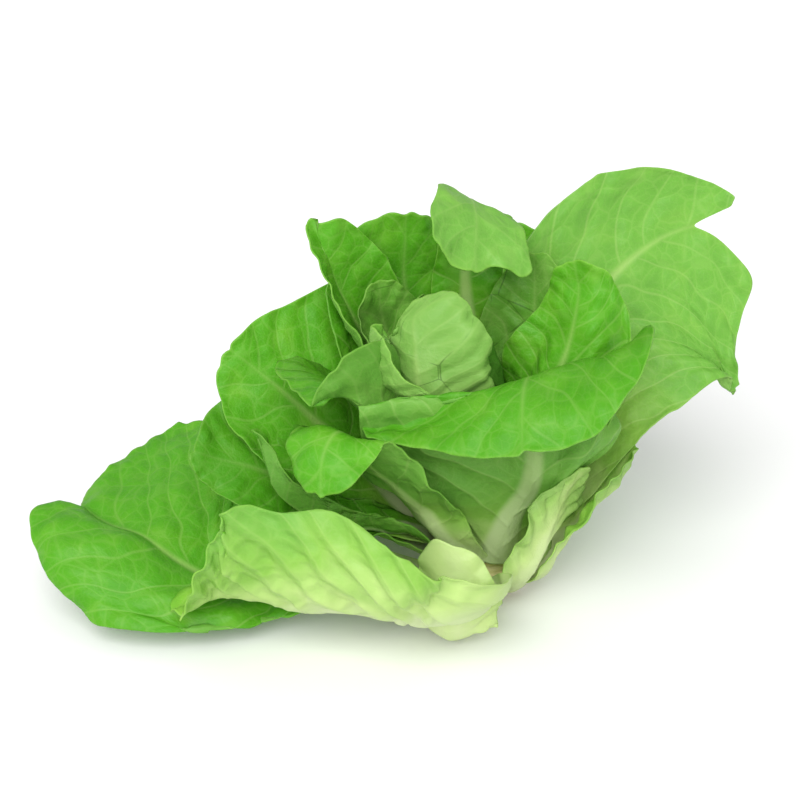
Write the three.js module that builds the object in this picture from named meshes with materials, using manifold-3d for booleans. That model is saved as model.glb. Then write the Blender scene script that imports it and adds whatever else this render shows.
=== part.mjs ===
// A head of butterhead lettuce, cut at the stem and standing on it: a short stem that
// carries separate leaves, from the outer ones that lie open to the pale ones of the heart.
// Millimetres, +Z up. The origin is the centre of the cut face at the foot of the stem,
// and the side with the folded front leaf faces -Y.
import * as THREE from "three";
import { mergeVertices } from "three/addons/utils/BufferGeometryUtils.js";
import Module from "manifold-3d";

const wasm = await Module();
wasm.setup();

// ---- driving dimensions ----
const STEM_FOOT_RADIUS = 10;
const STEM_NECK_RADIUS = 12;
const STEM_TIP_RADIUS = 4;
const STEM_NECK_HEIGHT = 9;
const STEM_HEIGHT = 46;
const STEM_SIDES = 24;
const BLADE_THICKNESS = 0.9;
const RIB_THICKNESS = 2.4;
const RIB_WIDTH_SHARE = 0.3;
const SOLID_GAP = 0.35; // left between one body and the next
const SIMPLIFY = 0.02;
const ROWS = 10;
const COLUMNS = 8;
const LEAF_GAP = 2.2; // between the middles of blades that lie against each other
const FLOOR_GAP = 0.8;
const PRESS_REACH = 8;
const SETTLE_ROUNDS = 24;
const GIVE = 8; // the furthest a leaf yields
const FINE = 2; // samples to a step of the grid
const RADIANS = Math.PI / 180;
const OUTER_GREEN = "#5ea52c";
const HEART_GREEN = "#a6cb7b";
const STEM_CREAM = "#e6da9d";

const smooth = (t, a, b) => THREE.MathUtils.smoothstep(t, a, b);

// A smooth value at t (0 to 1) through evenly spaced values.
function through(values, t) {
  if (values.length === 1) return values[0];
  const at = THREE.MathUtils.clamp(t, 0, 1) * (values.length - 1);
  const i = Math.min(Math.floor(at), values.length - 2);
  const v = (k) => values[THREE.MathUtils.clamp(k, 0, values.length - 1)];
  const f = at - i;
  const [a, b, c, d] = [v(i - 1), v(i), v(i + 1), v(i + 2)];
  return b + 0.5 * f * (c - a + f * (2 * a - 5 * b + 4 * c - d + f * (3 * (b - c) + d - a)));
}

const stemRadius = (z) =>
  z < STEM_NECK_HEIGHT
    ? THREE.MathUtils.lerp(STEM_FOOT_RADIUS, STEM_NECK_RADIUS, z / STEM_NECK_HEIGHT)
    : THREE.MathUtils.lerp(
        STEM_NECK_RADIUS,
        STEM_TIP_RADIUS,
        (z - STEM_NECK_HEIGHT) / (STEM_HEIGHT - STEM_NECK_HEIGHT),
      );

// ---- the leaves, from the outermost in ----
// azimuth: the way the leaf leaves the stem, in degrees from +X towards +Y.
// from: how high on the stem it is joined. rib: points its midrib runs through, from the stem to its tip.
// roll: turn of the blade about its midrib, from base to tip, left edge towards the heart.
// left, right: each half of the blade, looking away from the stem. half: its width, from base to tip.
// bend: how far it bends towards the heart across its width, from base to tip.
// fold: how far both halves are folded towards the heart along the midrib, away from the stem.
// round: how far the left and right edges are swept back from the tip.
// notch: how far the tip is cut in at the midrib.
// wave: height, number and phase of the edge's waves.
const PLAN = [
  {
    name: "left_ground_leaf", azimuth: 200, from: 5, roll: [0, -4, -6, -6],
    round: [0.3, 0.06], notch: 0.09, fold: 26, wave: [3, 7, 0],
    rib: [[-60, -20, 13], [-108, -27, 22], [-138, -14, 31], [-170, 9, 32]],
    left: { half: [8, 14, 26, 50, 42], bend: [0, -40, -100, -130, -120] },
    right: { half: [8, 38, 64, 74, 60], bend: [10, 0, -15, -20] },
  },
  {
    name: "back_ground_leaf", azimuth: 112, from: 5, roll: [0, 0],
    round: [0.3, 0.3], notch: 0, fold: 0, wave: [5, 7, 2],
    rib: [[-30, 60, 20], [-48, 100, 26], [-58, 138, 12]],
    left: { half: [10, 40, 55, 45], bend: [20, 0, -30] },
    right: { half: [10, 40, 55, 45], bend: [20, 0, -30] },
  },
  {
    name: "front_left_leaf", azimuth: 225, from: 6, roll: [0, 0, 20, 40],
    round: [0.22, 0.35], notch: 0, fold: 0, wave: [3, 7, 1],
    rib: [[-22, -36, 4], [-40, -45, 6], [-60, -47, 13], [-88, -47, 20], [-105, -50, 20], [-114, -62, 17]],
    left: { half: [10, 30, 66, 72, 70, 68, 56, 66, 56], bend: [60, 80, 60] },
    right: { half: [8, 20, 24, 20], bend: [30, 60, 60] },
  },
  {
    name: "front_base_leaf", azimuth: 255, from: 4, roll: [0, 0],
    round: [0.3, 0.3], notch: 0, fold: 0, wave: [1, 7, 0],
    rib: [[-9, -31, 3], [-17, -46, 13], [-18, -49, 31], [-17, -43, 47]],
    left: { half: [8, 14, 16, 13], bend: [40, 60, 60] },
    right: { half: [8, 15, 17, 14], bend: [40, 40, 40] },
  },
  {
    name: "right_base_leaf", azimuth: 312, from: 6, roll: [0, 0],
    round: [0.3, 0.3], notch: 0, fold: 0, wave: [2, 6, 0],
    rib: [[13, -24, 18], [20, -26, 34], [26, -23, 50], [31, -18, 66]],
    left: { half: [8, 16, 18, 16], bend: [20, 20, 20] },
    right: { half: [8, 14, 16, 14], bend: [20, 20, 20] },
  },
  {
    name: "right_ragged_leaf", azimuth: 350, from: 7, roll: [0, 0],
    round: [0.2, 0.2], notch: 0, fold: 0, wave: [2, 6, 0],
    rib: [[22, -8, 22], [36, -8, 38], [45, -3, 50], [53, 2, 62]],
    left: { half: [8, 14, 15, 12], bend: [10, 10, 10] },
    right: { half: [8, 14, 15, 12], bend: [10, 10, 10] },
  },
  {
    name: "back_left_leaf", azimuth: 142, from: 8, roll: [0, 0],
    round: [0.3, 0.3], notch: 0, fold: 0, wave: [4, 7, 2],
    rib: [[-40, 32, 30], [-66, 52, 50], [-84, 70, 60], [-98, 86, 58]],
    left: { half: [8, 24, 34, 30], bend: [30, 0, -20] },
    right: { half: [8, 34, 48, 40], bend: [30, 20, -20] },
  },
  {
    name: "back_right_leaf", azimuth: 68, from: 9, roll: [0, -10],
    round: [0.3, 0.3], notch: 0, fold: 0, wave: [4, 7, 2],
    rib: [[16, 42, 50], [26, 68, 76], [32, 90, 88], [36, 110, 86]],
    left: { half: [8, 36, 50, 40], bend: [30, 10, -30] },
    right: { half: [8, 36, 50, 40], bend: [30, 20, -20] },
  },
  {
    name: "right_big_leaf", azimuth: 32, from: 11, roll: [10, 40, 60, 65],
    round: [0.28, 0.12], notch: 0.14, fold: 0, wave: [0, 5, 0],
    rib: [[20, 14, 45], [29, 22, 84], [43, 32, 112], [62, 42, 126], [82, 47, 132], [104, 49, 134]],
    left: { half: [10, 28, 36, 38, 32, 16], bend: [40, 20, 10] },
    right: { half: [10, 30, 44, 62, 70, 58], bend: [40, 10, 0, 0] },
  },
  {
    name: "left_side_leaf", azimuth: 178, from: 12, roll: [0, -40, -60],
    round: [0.2, 0.2], notch: 0, fold: 0, wave: [3, 7, 2],
    rib: [[-35, 0, 36], [-62, 2, 64], [-84, 5, 84], [-101, 8, 98]],
    left: { half: [10, 24, 30, 24], bend: [20, 20, 10] },
    right: { half: [10, 44, 64, 66, 40], bend: [30, 20, 10] },
  },
  {
    name: "left_low_leaf", azimuth: 192, from: 13, roll: [0, -40, -50],
    round: [0.2, 0.2], notch: 0, fold: 0, wave: [2, 6, 2],
    rib: [[-35, -8, 32], [-65, -14, 48], [-90, -18, 60], [-114, -20, 68]],
    left: { half: [8, 18, 20, 16], bend: [30, 40, 40] },
    right: { half: [8, 26, 40, 34], bend: [30, 20, 10] },
  },
  {
    name: "back_leaf", azimuth: 82, from: 14, roll: [0, 0],
    round: [0.3, 0.3], notch: 0, fold: 0, wave: [3, 7, 2],
    rib: [[-2, 34, 50], [2, 50, 85], [6, 62, 108], [8, 71, 125]],
    left: { half: [10, 36, 45, 36], bend: [30, 20, 10] },
    right: { half: [10, 36, 45, 36], bend: [30, 20, 10] },
  },
  {
    name: "left_narrow_leaf", azimuth: 205, from: 15, roll: [0, 0],
    round: [0.5, 0.5], notch: 0, fold: 45, wave: [1, 6, 2],
    rib: [[-32, -15, 30], [-60, -28, 40], [-79, -35, 56], [-91, -30, 83]],
    left: { half: [8, 12, 15, 12], bend: [20, 20, 20] },
    right: { half: [8, 12, 16, 12], bend: [20, 20, 20] },
  },
  {
    name: "front_small_leaf", azimuth: 230, from: 16, roll: [0, 0],
    round: [0.2, 0.2], notch: 0, fold: 0, wave: [2, 6, 2],
    rib: [[-28, -24, 46], [-46, -36, 72], [-57, -44, 87], [-62, -53, 83], [-63, -60, 69]],
    left: { half: [10, 18, 22, 22], bend: [40, 20, -20] },
    right: { half: [10, 18, 20, 20], bend: [40, 20, -20] },
  },
  {
    name: "front_fold_leaf", azimuth: 278, from: 18, roll: [0, 6, 12, 10],
    round: [0.26, 0.06], notch: 0, fold: 0, wave: [2, 6, 2],
    rib: [[6, -20, 45], [8, -28, 76], [8, -31, 98], [8, -40, 107], [8, -54, 102], [8, -65, 88]],
    left: { half: [10, 30, 42, 50, 46], bend: [30, 20, 0] },
    right: { half: [14, 50, 58, 60, 60], bend: [30, 20, 0] },
  },
  {
    name: "left_top_leaf", azimuth: 158, from: 19, roll: [0, -20],
    round: [0.2, 0.2], notch: 0, fold: 30, wave: [2, 6, 2],
    rib: [[-23, 8, 52], [-44, 12, 88], [-60, 14, 120], [-69, 15, 148]],
    left: { half: [10, 18, 19, 10], bend: [20, 20, 20] },
    right: { half: [10, 18, 24, 22], bend: [20, 20, 20] },
  },
  {
    name: "back_left_top_leaf", azimuth: 128, from: 21, roll: [0, -10],
    round: [0.2, 0.2], notch: 0, fold: 0, wave: [2, 6, 2],
    rib: [[-18, 15, 56], [-29, 25, 90], [-34, 33, 118], [-34, 39, 141]],
    left: { half: [10, 28, 38, 34], bend: [40, 30, 20] },
    right: { half: [10, 26, 34, 28], bend: [40, 30, 20] },
  },
  {
    name: "right_upright_leaf", azimuth: 8, from: 22, roll: [0, 40, 50],
    round: [0.4, 0.4], notch: 0, fold: 0, wave: [2, 6, 2],
    rib: [[15, -5, 50], [24, -9, 84], [31, -6, 110], [29, 2, 137]],
    left: { half: [10, 22, 28, 24], bend: [40, 20, 10] },
    right: { half: [10, 24, 30, 30], bend: [40, 20, 10] },
  },
  {
    name: "left_pouch_leaf", azimuth: 236, from: 24, roll: [0, 10, 20, 20],
    round: [0.35, 0.1], notch: 0, fold: 50, wave: [2, 6, 2],
    rib: [[-25, -16, 54], [-42, -22, 80], [-55, -31, 93], [-67, -42, 94]],
    left: { half: [10, 20, 32, 34], bend: [10, 20, 20] },
    right: { half: [10, 28, 36, 32], bend: [20, 10, 0] },
  },
  {
    name: "right_inner_leaf", azimuth: 32, from: 26, roll: [0, 30],
    round: [0.3, 0.3], notch: 0, fold: 0, wave: [2, 6, 2],
    rib: [[12, 6, 58], [15, 12, 88], [16, 18, 112], [16, 25, 131]],
    left: { half: [8, 20, 24, 18], bend: [60, 60, 40] },
    right: { half: [8, 20, 24, 18], bend: [60, 60, 40] },
  },
  {
    name: "top_curl_leaf", azimuth: 95, from: 28, roll: [0, 0, -15, -22, -15],
    round: [0.12, 0.02], notch: 0, fold: 0, wave: [2, 6, 2],
    rib: [[-6, 18, 60], [-9, 26, 98], [-10, 30, 130], [-9, 23, 151], [-7, 8, 149], [-7, -6, 132]],
    left: { half: [8, 14, 14, 12, 28], bend: [50, 30, -10] },
    right: { half: [8, 14, 16, 17, 23], bend: [50, 30, 10] },
  },
  {
    name: "left_back_inner_leaf", azimuth: 140, from: 30, roll: [0, 0],
    round: [0.3, 0.3], notch: 0, fold: 0, wave: [2, 6, 2],
    rib: [[-22, 8, 60], [-36, 12, 88], [-43, 14, 108], [-44, 14, 124]],
    left: { half: [8, 18, 20, 16], bend: [50, 50, 40] },
    right: { half: [8, 18, 24, 20], bend: [50, 50, 40] },
  },
  {
    name: "left_inner_leaf", azimuth: 224, from: 31, roll: [0, 0],
    round: [0.3, 0.3], notch: 0, fold: 0, wave: [2, 6, 2],
    rib: [[-20, -14, 56], [-33, -25, 82], [-41, -31, 104], [-41, -28, 124]],
    left: { half: [8, 18, 26, 18], bend: [60, 60, 40] },
    right: { half: [8, 18, 24, 14], bend: [60, 60, 40] },
  },
  {
    name: "heart_right_leaf", azimuth: 20, from: 33, roll: [0, 0],
    round: [0.3, 0.3], notch: 0, fold: 0, wave: [1, 6, 2],
    rib: [[6, 2, 58], [3, 2, 86], [-3, 0, 106], [-12, -4, 120]],
    left: { half: [8, 18, 20, 18], bend: [70, 90, 90] },
    right: { half: [8, 18, 22, 18], bend: [70, 90, 90] },
  },
  {
    name: "heart_left_leaf", azimuth: 155, from: 35, roll: [0, 0],
    round: [0.3, 0.3], notch: 0, fold: 0, wave: [1, 6, 2],
    rib: [[-20, 4, 60], [-33, 4, 88], [-34, 2, 110], [-27, -3, 124]],
    left: { half: [8, 18, 22, 18], bend: [70, 90, 90] },
    right: { half: [8, 18, 22, 18], bend: [70, 90, 90] },
  },
  {
    name: "heart_front_leaf", azimuth: 262, from: 37, roll: [0, 0],
    round: [0.2, 0.2], notch: 0, fold: 0, wave: [1, 6, 2],
    rib: [[-9, -17, 55], [-18, -26, 80], [-22, -28, 100], [-23, -20, 119], [-24, -8, 128]],
    left: { half: [8, 18, 24, 20], bend: [60, 70, 60] },
    right: { half: [8, 18, 22, 20], bend: [60, 70, 60] },
  },
];

// Stations at even steps along the midrib, each with the leaf's own directions:
// along, side (towards its left) and face (towards the heart).
const RIB_STEPS = 60;
function midrib(leaf) {
  const radius = stemRadius(leaf.from) + RIB_THICKNESS;
  const start = leaf.azimuth * RADIANS;
  const foot = new THREE.Vector3(radius * Math.cos(start), radius * Math.sin(start), leaf.from);
  const points = [foot, ...leaf.rib.map((p) => new THREE.Vector3(...p))];
  const curve = new THREE.CatmullRomCurve3(points, false, "centripetal");
  const side = new THREE.Vector3(-Math.sin(start), Math.cos(start), 0);
  return Array.from({ length: RIB_STEPS + 1 }, (_, i) => {
    const along = curve.getTangentAt(i / RIB_STEPS);
    side.addScaledVector(along, -side.dot(along)).normalize();
    const roll = through(leaf.roll, i / RIB_STEPS) * RADIANS;
    return {
      at: curve.getPointAt(i / RIB_STEPS),
      along,
      side: side.clone().applyAxisAngle(along, roll),
      face: along.clone().cross(side).applyAxisAngle(along, roll),
    };
  });
}

// A point of the blade. u runs from base to tip, v across from -1 (right) to 1 (left).
const ACROSS_STEPS = 16;
function bladePoint(leaf, stations, u, v) {
  const reach = Math.abs(v);
  const sweep = leaf.round[v > 0 ? 0 : 1] * reach ** 2.6 + leaf.notch * (1 - reach) ** 4;
  const s = u * (1 - sweep);
  const part = v > 0 ? leaf.left : leaf.right;
  const bend = through(part.bend, s) * RADIANS;
  const fold = leaf.fold * smooth(s, 0.1, 0.4) * RADIANS;
  const step = (reach * through(part.half, s)) / ACROSS_STEPS;
  const here = stations[Math.floor(s * RIB_STEPS)];
  const next = stations[Math.min(Math.floor(s * RIB_STEPS) + 1, RIB_STEPS)];
  const mix = (key) => here[key].clone().lerp(next[key], (s * RIB_STEPS) % 1);
  const point = mix("at");
  const side = mix("side").multiplyScalar(v > 0 ? 1 : -1);
  const face = mix("face");
  let turn = 0;
  for (let k = 0; k < ACROSS_STEPS; k++) {
    turn = fold + (bend * reach * (k + 0.5)) / ACROSS_STEPS;
    point.addScaledVector(side, step * Math.cos(turn));
    point.addScaledVector(face, step * Math.sin(turn));
  }
  const [height, count, phase] = leaf.wave;
  const edge = Math.max(reach ** 2.5, u ** 5) * smooth(s, 0.2, 0.5);
  const lift = height * edge * Math.sin(count * Math.atan2(v * 0.3, s - 0.45) + phase);
  point.addScaledVector(face, lift * Math.cos(turn));
  return point.addScaledVector(side, -lift * Math.sin(turn));
}

// The blade as rows of points, from base to tip, each row from its right edge to its left one.
function bladeGrid(leaf, rows = ROWS, columns = COLUMNS) {
  const stations = midrib(leaf);
  return Array.from({ length: rows + 1 }, (_, i) =>
    Array.from({ length: columns + 1 }, (_, j) =>
      bladePoint(leaf, stations, i / rows, (2 * j) / columns - 1),
    ),
  );
}

// ---- settling: leaves that meet push each other apart, each keeping to the side it mostly lies on ----
const FINE_ROWS = ROWS * FINE + 1;
const FINE_COLUMNS = COLUMNS * FINE + 1;

// Samples of a grid with the directions they face, kept as flat arrays.
function samples(grid) {
  const at = new Float64Array(FINE_ROWS * FINE_COLUMNS * 3);
  const facing = new Float64Array(at.length);
  const put = (array, k, vector) => vector.toArray(array, 3 * k);
  const get = (i, j) => new THREE.Vector3().fromArray(at, 3 * (i * FINE_COLUMNS + j));
  for (let i = 0; i < FINE_ROWS; i++) {
    const row = Math.min(Math.floor(i / FINE), ROWS - 1);
    for (let j = 0; j < FINE_COLUMNS; j++) {
      const column = Math.min(Math.floor(j / FINE), COLUMNS - 1);
      const [s, t] = [i / FINE - row, j / FINE - column];
      const near = grid[row][column].clone().lerp(grid[row][column + 1], t);
      const far = grid[row + 1][column].clone().lerp(grid[row + 1][column + 1], t);
      put(at, i * FINE_COLUMNS + j, near.lerp(far, s));
    }
  }
  for (let i = 0; i < FINE_ROWS; i++) {
    for (let j = 0; j < FINE_COLUMNS; j++) {
      const along = get(Math.min(i + 1, FINE_ROWS - 1), j).sub(get(Math.max(i - 1, 0), j));
      const across = get(i, Math.min(j + 1, FINE_COLUMNS - 1)).sub(get(i, Math.max(j - 1, 0)));
      put(facing, i * FINE_COLUMNS + j, along.cross(across).normalize());
    }
  }
  const box = new THREE.Box3().setFromArray(at).expandByScalar(PRESS_REACH / 2);
  return { at, facing, box, push: new Float64Array(at.length), count: new Float64Array(at.length / 3) };
}

const onEdge = (k) =>
  k < FINE_COLUMNS ||
  k >= (FINE_ROWS - 1) * FINE_COLUMNS ||
  k % FINE_COLUMNS === 0 ||
  k % FINE_COLUMNS === FINE_COLUMNS - 1;

// Pushes samples of one leaf and the nearest ones of another apart, along the other's facing.
function press(mine, other, nearest) {
  const away = (k) => {
    const n = nearest[k];
    let height = 0;
    for (let c = 0; c < 3; c++) height += (mine.at[3 * k + c] - other.at[3 * n + c]) * other.facing[3 * n + c];
    return height;
  };
  const meeting = [];
  for (let k = 0; k < nearest.length; k++) if (nearest[k] >= 0 && !onEdge(nearest[k])) meeting.push(k);
  const side = Math.sign(meeting.reduce((sum, k) => sum + away(k), 0));
  for (const k of meeting) {
    const depth = LEAF_GAP - side * away(k);
    if (depth <= 0) continue;
    const n = nearest[k];
    for (let c = 0; c < 3; c++) {
      mine.push[3 * k + c] += 0.5 * side * depth * other.facing[3 * n + c];
      other.push[3 * n + c] -= 0.5 * side * depth * other.facing[3 * n + c];
    }
    mine.count[k]++;
    other.count[n]++;
  }
}

// The nearest samples of two leaves, each way, where they come within reach.
function meet(one, two) {
  const size = one.count.length;
  const nearest = [new Int32Array(size).fill(-1), new Int32Array(size).fill(-1)];
  const best = [new Float64Array(size).fill(PRESS_REACH ** 2), new Float64Array(size).fill(PRESS_REACH ** 2)];
  for (let a = 0; a < size; a++) {
    const [x, y, z] = [one.at[3 * a], one.at[3 * a + 1], one.at[3 * a + 2]];
    for (let b = 0; b < size; b++) {
      const far = (two.at[3 * b] - x) ** 2 + (two.at[3 * b + 1] - y) ** 2 + (two.at[3 * b + 2] - z) ** 2;
      if (far < best[0][a]) {
        best[0][a] = far;
        nearest[0][a] = b;
      }
      if (far < best[1][b]) {
        best[1][b] = far;
        nearest[1][b] = a;
      }
    }
  }
  press(one, two, nearest[0]);
  press(two, one, nearest[1]);
}

// Moves a grid by the mean push of the samples round each point, evened out over the blade.
function yieldTo(grid, home, { push, count }) {
  let moves = grid.map((row, i) =>
    row.map((_, j) => {
      const sum = new THREE.Vector3();
      let weight = 0;
      for (let di = 1 - FINE; di < FINE; di++) {
        for (let dj = 1 - FINE; dj < FINE; dj++) {
          const [fi, fj] = [i * FINE + di, j * FINE + dj];
          if (fi < 0 || fj < 0 || fi >= FINE_ROWS || fj >= FINE_COLUMNS) continue;
          const k = fi * FINE_COLUMNS + fj;
          const w = (1 - Math.abs(di) / FINE) * (1 - Math.abs(dj) / FINE);
          sum.addScaledVector(new THREE.Vector3().fromArray(push, 3 * k), w);
          weight += w * count[k];
        }
      }
      return weight > 0 ? sum.divideScalar(weight) : sum;
    }),
  );
  const even = (list, k) => {
    const [before, after] = [list[Math.max(k - 1, 0)], list[Math.min(k + 1, list.length - 1)]];
    return before.clone().add(after).addScaledVector(list[k], 2).divideScalar(4);
  };
  moves = moves.map((row) => row.map((_, j) => even(row, j)));
  moves = moves.map((row, i) => row.map((_, j) => even(moves.map((other) => other[j]), i)));
  grid.forEach((row, i) =>
    row.forEach((point, j) => {
      point.addScaledVector(moves[i][j], smooth(i / ROWS, 0, 0.3));
      point.sub(home[i][j]).clampLength(0, GIVE).add(home[i][j]);
      if (point.z < FLOOR_GAP) point.z += 0.5 * (FLOOR_GAP - point.z);
    }),
  );
}

function settle(grids) {
  const homes = grids.map((grid) => grid.map((row) => row.map((point) => point.clone())));
  for (let round = 0; round < SETTLE_ROUNDS; round++) {
    const sets = grids.map(samples);
    for (let a = 0; a < sets.length; a++) {
      for (let b = a + 1; b < sets.length; b++) {
        if (sets[a].box.intersectsBox(sets[b].box)) meet(sets[a], sets[b]);
      }
    }
    grids.forEach((grid, k) => yieldTo(grid, homes[k], sets[k]));
  }
  return grids;
}

// ---- solids ----
// A leaf's body: its blade on the side towards the heart, the same surface set back by the blade's
// thickness and the midrib's swell on the other side, and a rim between. grow adds to every side.
function leafSolid(grid, grow = 0) {
  const at = (i, j) =>
    grid[THREE.MathUtils.clamp(i, 0, ROWS)][THREE.MathUtils.clamp(j, 0, COLUMNS)].clone();
  const front = [];
  const back = [];
  for (let i = 0; i <= ROWS; i++) {
    for (let j = 0; j <= COLUMNS; j++) {
      const along = at(i + 1, j).sub(at(i - 1, j)).normalize();
      const across = at(i, j + 1).sub(at(i, j - 1)).normalize();
      const facing = along.clone().cross(across).normalize();
      const outward = new THREE.Vector3();
      if (i === 0) outward.sub(along);
      if (i === ROWS) outward.add(along);
      if (j === 0) outward.sub(across);
      if (j === COLUMNS) outward.add(across);
      const point = at(i, j).addScaledVector(outward, grow);
      const reach = Math.abs((2 * j) / COLUMNS - 1);
      const swell = RIB_THICKNESS * (1 - i / ROWS) * Math.max(0, 1 - reach / RIB_WIDTH_SHARE);
      front.push(point.clone().addScaledVector(facing, BLADE_THICKNESS / 2 + grow));
      back.push(point.addScaledVector(facing, -BLADE_THICKNESS / 2 - swell - grow));
    }
  }
  const width = COLUMNS + 1;
  const count = front.length;
  const index = [];
  for (let i = 0; i < ROWS; i++) {
    for (let j = 0; j < COLUMNS; j++) {
      const [a, b, c, d] = [i * width + j, (i + 1) * width + j, (i + 1) * width + j + 1, i * width + j + 1];
      const rising = front[a].distanceTo(front[c]) < front[b].distanceTo(front[d]);
      const halves = rising ? [a, b, c, a, c, d] : [a, b, d, b, c, d];
      index.push(...halves);
      index.push(...halves.map((k) => count + k).reverse());
    }
  }
  const rim = [];
  for (let j = 0; j < COLUMNS; j++) rim.push(j);
  for (let i = 0; i < ROWS; i++) rim.push(i * width + COLUMNS);
  for (let j = COLUMNS; j > 0; j--) rim.push(ROWS * width + j);
  for (let i = ROWS; i > 0; i--) rim.push(i * width);
  rim.forEach((k, n) => {
    const next = rim[(n + 1) % rim.length];
    index.push(k, next, count + k, next, count + next, count + k);
  });
  const vertProperties = new Float32Array([...front, ...back].flatMap((p) => p.toArray()));
  return new wasm.Manifold(new wasm.Mesh({ numProp: 3, vertProperties, triVerts: new Uint32Array(index) }));
}

// The stem: cut square at the foot, widest where the outer leaves leave it, and tapering into the heart.
function stemSolid(grow = 0) {
  const outline = [
    new THREE.Vector2(0, -grow),
    new THREE.Vector2(STEM_FOOT_RADIUS + grow, -grow),
    new THREE.Vector2(STEM_NECK_RADIUS + grow, STEM_NECK_HEIGHT),
    new THREE.Vector2(STEM_TIP_RADIUS + grow, STEM_HEIGHT + grow),
    new THREE.Vector2(0, STEM_HEIGHT + STEM_TIP_RADIUS / 2 + grow),
  ];
  const lathe = new THREE.LatheGeometry(outline, STEM_SIDES).rotateX(Math.PI / 2);
  lathe.deleteAttribute("normal");
  lathe.deleteAttribute("uv");
  const { attributes, index } = mergeVertices(lathe, 1e-5);
  const triVerts = new Uint32Array(index.array);
  return new wasm.Manifold(new wasm.Mesh({ numProp: 3, vertProperties: attributes.position.array, triVerts }));
}

const largest = (solid) => solid.decompose().reduce((a, b) => (b.volume() > a.volume() ? b : a));

const boxOf = (solid) => {
  const { min, max } = solid.boundingBox();
  return new THREE.Box3(new THREE.Vector3(...min), new THREE.Vector3(...max));
};

// Every leaf clears the stem and the leaves outside it by a gap.
function clearSolids(grids) {
  const grown = [stemSolid(SOLID_GAP), ...grids.map((grid) => leafSolid(grid, SOLID_GAP))];
  const done = [];
  grids.forEach((grid, k) => {
    let solid = leafSolid(grid);
    for (const other of [...grown.slice(0, k + 1), ...done]) {
      if (boxOf(solid).intersectsBox(boxOf(other))) solid = solid.subtract(other);
    }
    done.push(largest(solid).simplify(SIMPLIFY).asOriginal());
  });
  return done;
}

function meshOf(solid, name, color) {
  const { vertProperties, triVerts } = solid.getMesh();
  const geometry = new THREE.BufferGeometry();
  geometry.setAttribute("position", new THREE.BufferAttribute(vertProperties, 3));
  geometry.setIndex(new THREE.BufferAttribute(triVerts, 1));
  geometry.computeVertexNormals();
  const material = new THREE.MeshStandardMaterial({ color, roughness: 0.55, metalness: 0 });
  const mesh = new THREE.Mesh(geometry, material);
  mesh.name = name;
  return mesh;
}

const lettuce = new THREE.Group();
const grids = settle(PLAN.map((leaf) => bladeGrid(leaf)));
lettuce.add(meshOf(stemSolid(), "stem", STEM_CREAM));
clearSolids(grids).forEach((solid, k) => {
  const green = new THREE.Color(OUTER_GREEN).lerp(new THREE.Color(HEART_GREEN), k / (PLAN.length - 1));
  lettuce.add(meshOf(solid, PLAN[k].name, green));
});

export default lettuce;
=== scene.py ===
import math

import bpy
import numpy as np
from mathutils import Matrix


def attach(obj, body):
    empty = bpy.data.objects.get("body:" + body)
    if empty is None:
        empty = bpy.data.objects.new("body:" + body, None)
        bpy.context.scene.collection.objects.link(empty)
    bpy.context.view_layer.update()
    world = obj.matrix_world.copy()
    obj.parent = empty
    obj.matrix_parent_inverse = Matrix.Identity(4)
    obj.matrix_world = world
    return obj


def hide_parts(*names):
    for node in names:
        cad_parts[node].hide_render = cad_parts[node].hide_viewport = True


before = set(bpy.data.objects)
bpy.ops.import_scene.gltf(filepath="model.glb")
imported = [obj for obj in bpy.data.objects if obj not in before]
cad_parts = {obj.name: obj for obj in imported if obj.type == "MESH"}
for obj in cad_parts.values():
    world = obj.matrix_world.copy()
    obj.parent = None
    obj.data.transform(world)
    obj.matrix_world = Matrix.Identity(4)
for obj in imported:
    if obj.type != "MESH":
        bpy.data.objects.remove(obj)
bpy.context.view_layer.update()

# ---- the view ----
# A long lens, a little above the head, looking along +Y at the middle of its spread of leaves.
VIEW_TARGET = np.array([-0.035, 0.010, 0.0745])
VIEW_DISTANCE = 0.900
VIEW_ELEVATION = math.radians(26)
VIEW_LENS = 106.6

camera_data = bpy.data.cameras.new("camera")
camera_data.lens = VIEW_LENS
camera_data.sensor_width = 36
camera_data.clip_start = 0.05
camera = bpy.data.objects.new("camera", camera_data)
bpy.context.scene.collection.objects.link(camera)
back = np.array([0, -math.cos(VIEW_ELEVATION), math.sin(VIEW_ELEVATION)])
camera.location = VIEW_TARGET + VIEW_DISTANCE * back
camera.rotation_euler = (math.pi / 2 - VIEW_ELEVATION, 0, 0)
bpy.context.scene.camera = camera
bpy.context.scene.view_settings.view_transform = "Standard"

# ---- the stem ----
# The short core that every leaf grows from, cut square at the foot. Its skin is cream and ringed
# with the scars of leaves that were pulled off; the cut has dried to tan, darker round its rim.
STEM_FOOT_RADIUS = 10
STEM_NECK_RADIUS = 12
STEM_TIP_RADIUS = 4
STEM_NECK_HEIGHT = 9
STEM_HEIGHT = 46
STEM_ROUND = 96  # points round
STEM_SCAR_PITCH = 3.1
STEM_SCAR_DEPTH = 0.35
STEM_DISH_RADIUS = 8.5  # the cut face is hollow inside this
STEM_DISH_DEPTH = 0.25
STEM_CUT_RINGS = (1.5, 3, 4.5, 6, 7.5, 8.8, 9.4)
STEM_RING_STEP = 0.7
STEM_SKIN = "#e6da9d"
STEM_SKIN_STREAK = "#cfc987"
STEM_CUT = "#d9bf86"
STEM_BROWNED = "#a5713a"
MM = 0.001


def colour(hexcode):
    """The linear RGBA of an sRGB hex colour."""
    channels = [int(hexcode[i : i + 2], 16) / 255 for i in (1, 3, 5)]
    linear = [c / 12.92 if c <= 0.04045 else ((c + 0.055) / 1.055) ** 2.4 for c in channels]
    return (*linear, 1.0)


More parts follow.
